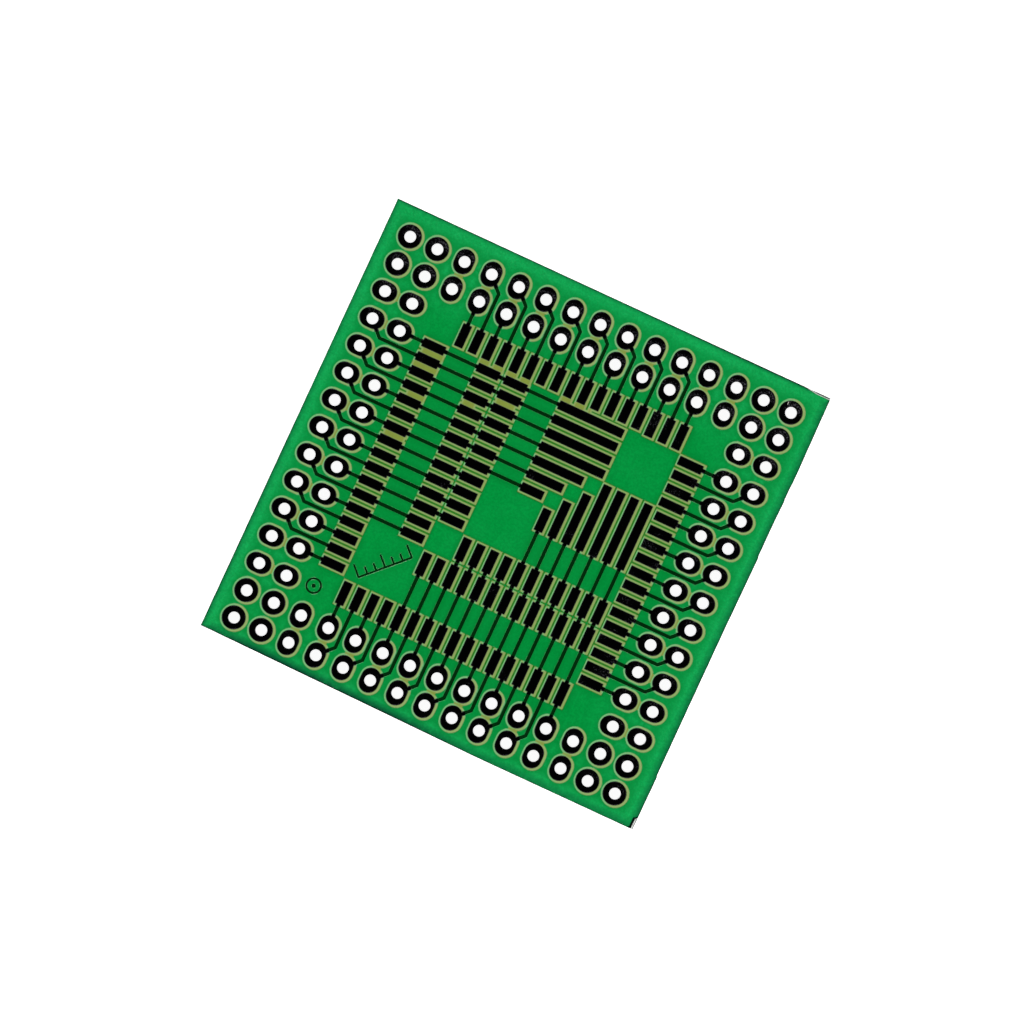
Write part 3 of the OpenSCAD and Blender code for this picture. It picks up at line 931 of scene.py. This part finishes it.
class Wires:
    """A node tree under way. Each call adds a node and returns its output."""

    def __init__(self, tree):
        self.tree = tree
        self.x = 0

    def node(self, kind, inputs=(), **settings):
        found = self.tree.nodes.new(kind)
        self.x += 180
        found.location = (self.x, -120 * (self.x // 180 % 5))
        for name, value in settings.items():
            setattr(found, name, value)
        fill(self.tree, found, dict(inputs))
        return found

    def math(self, operation, a, b=0.5, clamp=False):
        return self.node("ShaderNodeMath", {0: a, 1: b}, operation=operation, use_clamp=clamp).outputs[0]

    def plus(self, a, b):
        return self.math("ADD", a, b)

    def times(self, a, b):
        return self.math("MULTIPLY", a, b)

    def mix(self, share, a, b, blend="MIX"):
        """Two colours mixed, each a socket or red, green and blue."""
        a, b = [v if isinstance(v, bpy.types.NodeSocket) else (*v, 1.0) for v in (a, b)]
        found = self.node("ShaderNodeMix", {0: share, 6: a, 7: b}, data_type="RGBA", blend_type=blend)
        return found.outputs[2]

    def ramp(self, value, low, high, out_low=0.0, out_high=1.0):
        inputs = {0: value, 1: low, 2: high, 3: out_low, 4: out_high}
        return self.node("ShaderNodeMapRange", inputs, interpolation_type="SMOOTHSTEP").outputs[0]

    def noise(self, place, scale, detail=3.0, rough=0.5, stretch=None):
        if stretch:
            place = self.node("ShaderNodeMapping", {"Vector": place, "Scale": stretch}).outputs[0]
        inputs = {"Vector": place, "Scale": scale, "Detail": detail, "Roughness": rough}
        return self.node("ShaderNodeTexNoise", inputs).outputs["Fac"]

    def mark(self, name):
        """One of the values that the mesh carries."""
        return self.node("ShaderNodeAttribute", attribute_name=name).outputs["Fac"]

    def over(self, tone, name, share, colour):
        """A tone with a colour laid over it where the mesh is marked."""
        return self.mix(self.ramp(self.mark(name), 0.0, 1.0, 0.0, share), tone, colour)

    def bump(self, height, strength, distance):
        inputs = {"Height": height, "Strength": strength, "Distance": distance}
        return self.node("ShaderNodeBump", inputs).outputs[0]

    def mottle(self, place, scale, low, high):
        """Soft uneven patches, from 0 to 1."""
        inputs = {"Place": place, "Scale": scale, "Low": low, "High": high}
        return self.node("ShaderNodeGroup", inputs, node_tree=mottle_group()).outputs["Patches"]

    def weave(self, place):
        """The height of the glass cloth, and the strands in it."""
        found = self.node("ShaderNodeGroup", {"Place": place}, node_tree=weave_group())
        return found.outputs["Height"], found.outputs["Fibre"]


def group(name, inputs, outputs, build):
    """A shader node group, made once. inputs gives each input's label and default, a number or a vector.
    build gets the wires and the inputs' sockets, and returns the socket of each output, a number."""
    if name in bpy.data.node_groups:
        return bpy.data.node_groups[name]
    tree = bpy.data.node_groups.new(name, "ShaderNodeTree")
    for label, default in inputs.items():
        kind = "NodeSocketFloat" if isinstance(default, float) else "NodeSocketVector"
        tree.interface.new_socket(name=label, in_out="INPUT", socket_type=kind).default_value = default
    for label in outputs:
        tree.interface.new_socket(name=label, in_out="OUTPUT", socket_type="NodeSocketFloat")
    start = tree.nodes.new("NodeGroupInput")
    made = build(Wires(tree), {label: start.outputs[label] for label in inputs})
    fill(tree, tree.nodes.new("NodeGroupOutput"), made)
    return tree


def mottle_group():
    """Soft uneven patches: broad ones with finer ones in them."""

    def build(w, i):
        broad = w.noise(i["Place"], i["Scale"], 2.0)
        fine = w.noise(i["Place"], w.times(i["Scale"], 7.3), 3.0)
        both = w.plus(w.times(broad, 0.65), w.times(fine, 0.35))
        return {"Patches": w.ramp(both, i["Low"], i["High"])}

    inputs = {"Place": (0.0, 0.0, 0.0), "Scale": 900.0, "Low": 0.35, "High": 0.65}
    return group("mottle", inputs, ["Patches"], build)


def weave_group():
    """Plain glass weave: bundles over and under each other. Height is the cloth, Fibre its strands."""

    def build(w, i):
        scaled_place = w.node("ShaderNodeVectorMath", {0: i["Place"], 1: i["Scale"]}, operation="MULTIPLY")
        x, y, _ = w.node("ShaderNodeSeparateXYZ", {0: scaled_place.outputs[0]}).outputs
        both = w.times(w.math("SINE", x), w.math("SINE", y))
        warp, weft = [w.math("ABSOLUTE", w.math("COSINE", w.times(v, 0.5))) for v in (x, y)]
        picked = w.ramp(both, -0.35, 0.35)
        high = w.plus(w.times(picked, warp), w.times(w.math("SUBTRACT", 1.0, picked), weft))
        strands = w.noise(i["Place"], 9000.0, 2.0, 0.6)
        return {"Height": high, "Fibre": w.ramp(w.plus(high, w.times(strands, 0.8)), 0.5, 1.6)}

    inputs = {"Place": (0.0, 0.0, 0.0), "Scale": (7000.0, 6200.0, 1.0)}
    return group("glass_weave", inputs, ["Height", "Fibre"], build)


def material(build, colours):
    """A material named for its build, which returns the inputs of its Principled shader."""
    name = build.__name__
    if name in bpy.data.materials:
        return bpy.data.materials[name]
    found = bpy.data.materials.new(name)
    found.use_nodes = True
    tree = found.node_tree
    tree.nodes.clear()
    wires = Wires(tree)
    place = wires.node("ShaderNodeTexCoord").outputs["Object"]
    shader = tree.nodes.new("ShaderNodeBsdfPrincipled")
    shader.location = (3600, 0)
    end = tree.nodes.new("ShaderNodeOutputMaterial")
    end.location = (3900, 0)
    tree.links.new(shader.outputs[0], end.inputs[0])
    fill(tree, shader, build(wires, place, colours))
    return found


def green_mask(w, place, c):
    """Glossy solder mask: paler and dusty towards the border, darker over copper with a painted dark
    reflection, and with painted shade along the sheared edge, partly crushed mask.
    """
    # The darker field: how far its middle lies below the board's, its half width, and where it is palest
    field_down, field, palest = 0.0014, 0.0125, 0.0195
    x, y, _ = w.node("ShaderNodeSeparateXYZ", {0: place}).outputs
    out = w.math("MAXIMUM", w.math("ABSOLUTE", x), w.math("ABSOLUTE", w.plus(y, field_down)))
    border = w.ramp(out, field, palest)
    patches = w.mottle(place, 420.0, 0.3, 0.7)
    grain = w.mottle(place, 1700.0, 0.36, 0.62)
    tone = w.mix(w.math("ADD", w.times(border, 0.8), w.times(patches, 0.15), True), c.mask, c.mask_pale)
    dull = w.times(grain, w.plus(w.times(border, 0.08), 0.16))
    tone = w.mix(dull, tone, scaled(c.mask, 0.72))
    dust = w.ramp(w.noise(place, 8500.0, 3.0, 0.7), 0.5, 0.7, 0.0, 0.45)
    dust = w.times(dust, w.plus(w.times(border, 0.9), 0.1))
    tone = w.mix(dust, tone, (0.028, c.mask_pale[1] * 0.95, c.mask_pale[2]))
    grit = w.ramp(w.noise(place, 5200.0, 2.0, 0.6), 0.35, 0.65, 0.9, 1.08)
    tone = w.mix(1.0, tone, grit, "MULTIPLY")
    tone = w.mix(w.mark("shade"), tone, c.mask_shade)
    tone = w.over(tone, "lip", 0.9, c.mask_lip)
    tone = w.mix(w.mark("web"), tone, c.mask_web)
    # Painted reflection: the tracks under the mask show as the dark room mirrored in their copper
    tone = w.mix(w.ramp(w.mark("over_copper"), 0.1, 0.9, 0.0, 0.97), tone, c.mask_dark)
    # Painted shade along the sheared edge, partly crushed mask: mottled, then near black in its darkest line
    bruise = w.mark("bruise")
    tone = w.mix(w.math("MULTIPLY", bruise, w.mottle(place, 1500.0, 0.1, 0.5), True), tone, c.bruise)
    tone = w.mix(w.ramp(bruise, 0.8, 1.8), tone, scaled(c.bruise, 0.1))
    height, _ = w.weave(place)
    return {
        "Base Color": tone,
        "Roughness": w.ramp(patches, 0.0, 1.0, 0.16, 0.24),
        "Specular IOR Level": 0.35,
        "Coat Weight": w.ramp(grain, 0.0, 1.0, 0.25, 0.1),
        "Coat Roughness": 0.08,
        "Normal": w.bump(w.plus(w.times(height, 0.25), w.noise(place, 2400.0, 2.0)), 0.3, 0.00001),
    }


def bare_laminate(w, place, c):
    """Bare glass-epoxy: pale beside the pads, partly a painted highlight, darkened round the copper by a
    painted contact shadow, filmed with mask, torn to white strands at two corners.
    """
    height, fibre = w.weave(place)
    tone = w.mix(w.times(fibre, 0.22), c.bare, scaled(c.bare, 1.25))
    tone = w.mix(w.times(w.mottle(place, 1100.0, 0.3, 0.7), 0.3), tone, scaled(c.bare, 0.82))
    # Pale rim, partly a painted highlight off the mask's edge
    tone = w.over(tone, "rim", 0.9, c.bare_pale)
    tone = w.over(tone, "film", 0.85, c.mask_web)
    tone = w.over(tone, "narrow", 0.85, c.bare_thin)
    # Painted contact shadow round the copper
    tone = w.over(tone, "foot", 0.95, c.metal)
    torn = w.mark("sliver")
    frayed = w.times(w.ramp(torn, 0.0, 1.0), w.ramp(w.noise(place, 4000.0), 0.3, 0.5, 0.8, 1.0))
    # Darker band nearest the edge at the broken strips, in the colour of the edge's painted shade and crushed
    # mask
    crushed = w.times(w.ramp(torn, 1.0, 2.0), w.ramp(w.noise(place, 2600.0), 0.35, 0.6, 0.8, 1.0))
    return {
        "Base Color": w.mix(crushed, w.mix(frayed, tone, c.frayed), scaled(c.bruise, 0.3)),
        "Roughness": w.ramp(fibre, 0.0, 1.0, 0.62, 0.5),
        "Specular IOR Level": 0.3,
        "Normal": w.bump(height, 0.4, 0.00001),
    }


def cut_laminate(w, place, c):
    """Sheared glass-epoxy: layers of cloth on edge, with pale strands."""
    layers = w.noise(place, 1400.0, 3.0, 0.6, (0.15, 0.15, 6.0))
    strands = w.noise(place, 5200.0, 3.0, 0.6, (1.0, 1.0, 2.5))
    tone = w.mix(w.ramp(layers, 0.35, 0.65), scaled(c.cut, 0.6), c.cut)
    return {
        "Base Color": w.mix(w.ramp(strands, 0.55, 0.75, 0.0, 0.6), tone, c.frayed),
        "Roughness": w.ramp(strands, 0.3, 0.7, 0.75, 0.95),
        "Specular IOR Level": 0.2,
        "Normal": w.bump(w.plus(layers, strands), 0.6, 0.00003),
    }


def tinned_copper(w, place, c):
    """Mirror-like tin, its dark base colour a painted reflection of the dark room overhead, with hazy specks
    that are partly painted highlight, and bright metal in the scratch, where the mark is over 1.
    """
    spots = w.ramp(w.noise(place, 420.0, 2.0), 0.64, 0.76, 0.0, 0.4)
    mark = w.mark("haze")
    speck = w.ramp(w.noise(place, 7000.0, 3.0, 0.65), 0.46, 0.7)
    # Hazy specks, partly real haze and partly painted highlight
    haze = w.times(w.math("MAXIMUM", mark, spots), w.plus(w.times(speck, 0.85), 0.15))
    tone = w.mix(haze, c.metal, c.metal_pale)
    return {
        "Base Color": w.mix(w.ramp(mark, 1.0, 2.0), tone, c.metal_raw),
        "Metallic": 1.0,
        "Roughness": w.ramp(haze, 0.0, 0.5, 0.16, 0.6),
        "Normal": w.bump(w.noise(place, 3000.0, 2.0), 0.3, 0.000006),
    }


def floor_white(w, place, c):
    """The pale floor, lit from within so that it stays white."""
    return {
        "Base Color": w.mix(w.noise(place, 9.0, 2.0), c.floor, scaled(c.floor, 1.05)),
        "Roughness": 0.9,
        "Specular IOR Level": 0.1,
        "Emission Color": (1.0, 1.0, 1.0, 1.0),
        "Emission Strength": 0.95,
    }


# ---- stage

# The floor's section, in metres: distance from the middle and height
FLOOR = ((0.001, -0.00003), (0.3, -0.00003), (1.3, -0.00003), (1.5, 0.02), (1.6, 0.1), (1.62, 0.3))
FLOOR_SIDES = 96
# A softbox at each quarter, low enough that the board's flat metal mirrors only the dark room overhead: name,
# bearing in degrees and power in watts, then the height in degrees, distance, width and depth of each
SOFTBOXES = (("key", -65, 1.25), ("fill", 25, 0.8), ("back", 115, 0.75), ("side", 205, 0.8))
BOX_HEIGHT, BOX_FAR, BOX_W, BOX_H = 36, 0.5, 0.3, 0.14
# The camera looks straight down on the board: its turn in degrees, its place and the width that it sees
CAMERA_TURN, CAMERA_X, CAMERA_Y, CAMERA_ACROSS = 24.82, -0.000157, 0.000225, 0.08678


def add_floor(scene, colours):
    turn = np.linspace(0, 2 * math.pi, FLOOR_SIDES, endpoint=False)
    points = [(r * math.cos(t), r * math.sin(t), z) for r, z in FLOOR for t in turn]
    faces = [tuple(range(FLOOR_SIDES))]
    for inner in range(0, FLOOR_SIDES * (len(FLOOR) - 1), FLOOR_SIDES):
        outer = inner + FLOOR_SIDES
        for j in range(FLOOR_SIDES):
            k = (j + 1) % FLOOR_SIDES
            faces.append((inner + j, outer + j, outer + k, inner + k))
    mesh = bpy.data.meshes.new("floor")
    mesh.from_pydata(points, [], faces)
    mesh.shade_smooth()
    mesh.materials.append(material(floor_white, colours))
    floor = bpy.data.objects.new("floor", mesh)
    scene.collection.objects.link(floor)


def add_softbox(scene, name, bearing, power):
    lamp = bpy.data.lights.new(name, "AREA")
    lamp.shape, lamp.size, lamp.size_y = "RECTANGLE", BOX_W, BOX_H
    lamp.energy = power
    box = bpy.data.objects.new(name, lamp)
    a, e, far = math.radians(bearing), math.radians(BOX_HEIGHT), BOX_FAR
    box.location = (far * math.cos(a) * math.cos(e), far * math.sin(a) * math.cos(e), far * math.sin(e))
    box.rotation_euler = (-Vector(box.location)).to_track_quat("-Z", "Y").to_euler()
    box.visible_camera = False
    scene.collection.objects.link(box)


def add_camera(scene, height):
    """The camera, with a long lens over a face at the given height."""
    lens = bpy.data.cameras.new("camera")
    lens.lens, lens.sensor_width = 400, 36
    lens.clip_start, lens.clip_end = 0.01, 10
    camera = bpy.data.objects.new("camera", lens)
    camera.location = (CAMERA_X, CAMERA_Y, height + CAMERA_ACROSS * lens.lens / lens.sensor_width)
    camera.rotation_euler = (0, 0, math.radians(CAMERA_TURN))
    scene.collection.objects.link(camera)
    scene.camera = camera


# ---- operators


class Step:
    """What every step of the build shares: it draws the plan and gets the colours from the sidebar."""

    bl_options = {"REGISTER", "UNDO"}

    @staticmethod
    def drawing(context):
        return Plan(context.scene.board_sizes), context.scene.board_colours


class BOARD_OT_laminate(Step, bpy.types.Operator):
    """Build the drilled glass-epoxy sheet"""

    bl_idname = "board.laminate"
    bl_label = "Laminate"

    def execute(self, context):
        plan, colours = self.drawing(context)
        skin = laminate_skin(plan)
        skin.piece("glass_laminate", ["laminate"], "laminate", colours, bare_laminate, cut_laminate)
        return {"FINISHED"}


class BOARD_OT_masks(Step, bpy.types.Operator):
    """Build the solder mask of both faces"""

    bl_idname = "board.masks"
    bl_label = "Solder masks"

    def execute(self, context):
        plan, colours = self.drawing(context)
        for name, top in (("top", True), ("bottom", False)):
            skin = mask_skin(plan, top)
            skin.piece(f"{name}_mask", [f"solder_mask_{name}"], "solder_mask", colours, green_mask)
        return {"FINISHED"}


class BOARD_OT_circuits(Step, bpy.types.Operator):
    """Build the plated copper of every contact"""

    bl_idname = "board.circuits"
    bl_label = "Circuits"

    def execute(self, context):
        plan, colours = self.drawing(context)
        for side in plan.SIDES:
            if side in plan.SHARED:
                groups = {f"{side}_circuit_{k + 1:02d}": [k] for k in range(plan.CONTACTS)}
            else:
                rows = (("inner", 0), ("outer", 1))
                groups = {f"{side}_{row}_circuits": range(first, plan.CONTACTS, 2) for row, first in rows}
            for node, contacts in groups.items():
                skin = Skin()
                for k in contacts:
                    hole = (*plan.hole(side, k), plan.WAYS[side])
                    add_circuit(skin, plan, hole, plan.pads(side, k), plan.track(side, k))
                skin.piece(f"tinned_{node}", [node], "plated_copper", colours, tinned_copper)
        return {"FINISHED"}


class BOARD_OT_spares(Step, bpy.types.Operator):
    """Build the plated holes that no track reaches"""

    bl_idname = "board.spares"
    bl_label = "Spare holes"

    def execute(self, context):
        plan, colours = self.drawing(context)
        for side in ("corner", *plan.SIDES):
            skin = Skin()
            for hole in plan.spares(side):
                add_circuit(skin, plan, hole, [], [])
            node = f"{side}_spare_holes"
            skin.piece(f"tinned_{node}", [node], "plated_copper", colours, tinned_copper)
        return {"FINISHED"}


class BOARD_OT_marks(Step, bpy.types.Operator):
    """Build the etched alignment marks under the mask"""

    bl_idname = "board.marks"
    bl_label = "Marks"

    def execute(self, context):
        plan, colours = self.drawing(context)
        strokes, dot, outer, inner = plan.marks()
        shapes = moved([*strokes, dot, outer, inner], plan.copper_shift)
        flat, tris, held = triangles([outline(s, g, 6) for g in (0, -0.02) for s in shapes])
        inner_loop = len(shapes) - 1
        outer_loop, solid = inner_loop - 1, set(range(inner_loop))
        # Inside the target's inner circle only the dot is copper
        dot_loop = outer_loop - 1
        tris = tris[[i for i, h in enumerate(held) if h & solid and (inner_loop not in h or dot_loop in h)]]

        def height(p):
            depth = -np.minimum(nearest(shapes[:outer_loop], p), plan.target_ring(p))
            return plan.z1 + plan.copper_t * (0.5 + 0.48 * quarter(depth / 0.02))

        skin = Skin()
        top, edges = skin.sheet(flat, tris, height)
        low, _ = skin.sheet(flat, tris, level(plan.z1), False)
        skin.wall(edges, top, low)
        skin.piece("etched_marks", ["copper_marks"], "plated_copper", colours, tinned_copper)
        return {"FINISHED"}


class BOARD_OT_stage(Step, bpy.types.Operator):
    """Build the floor, the lights and the camera"""

    bl_idname = "board.stage"
    bl_label = "Stage"

    def execute(self, context):
        plan, colours = self.drawing(context)
        scene = context.scene
        add_floor(scene, colours)
        world = bpy.data.worlds.new("studio")
        world.use_nodes = True
        world.node_tree.nodes["Background"].inputs[0].default_value = (0.012, 0.012, 0.013, 1)
        scene.world = world
        for softbox in SOFTBOXES:
            add_softbox(scene, *softbox)
        add_camera(scene, plan.top / MM)
        scene.view_settings.view_transform = "Standard"
        return {"FINISHED"}


class BOARD_PT_panel(bpy.types.Panel):
    """The board's sizes, colours and build steps"""

    bl_idname = "BOARD_PT_panel"
    bl_label = "Adapter board"
    bl_space_type = "VIEW_3D"
    bl_region_type = "UI"
    bl_category = "Board"

    def draw(self, context):
        layout = self.layout
        for step in STEPS:
            layout.operator(step.bl_idname)
        for settings in (context.scene.board_sizes, context.scene.board_colours):
            box = layout.box()
            for name in type(settings).__annotations__:
                box.prop(settings, name)


STEPS = (
    BOARD_OT_laminate, BOARD_OT_masks, BOARD_OT_circuits, BOARD_OT_spares, BOARD_OT_marks, BOARD_OT_stage
)
CLASSES = (BoardSizes, BoardColours, *STEPS, BOARD_PT_panel)


def register():
    for item in CLASSES:
        bpy.utils.register_class(item)
    bpy.types.Scene.board_sizes = bpy.props.PointerProperty(type=BoardSizes)
    bpy.types.Scene.board_colours = bpy.props.PointerProperty(type=BoardColours)


def unregister():
    del bpy.types.Scene.board_colours
    del bpy.types.Scene.board_sizes
    for item in reversed(CLASSES):
        bpy.utils.unregister_class(item)


def main():
    register()
    for step in STEPS:
        family, name = step.bl_idname.split(".")
        getattr(getattr(bpy.ops, family), name)()


if __name__ == "__main__":
    main()
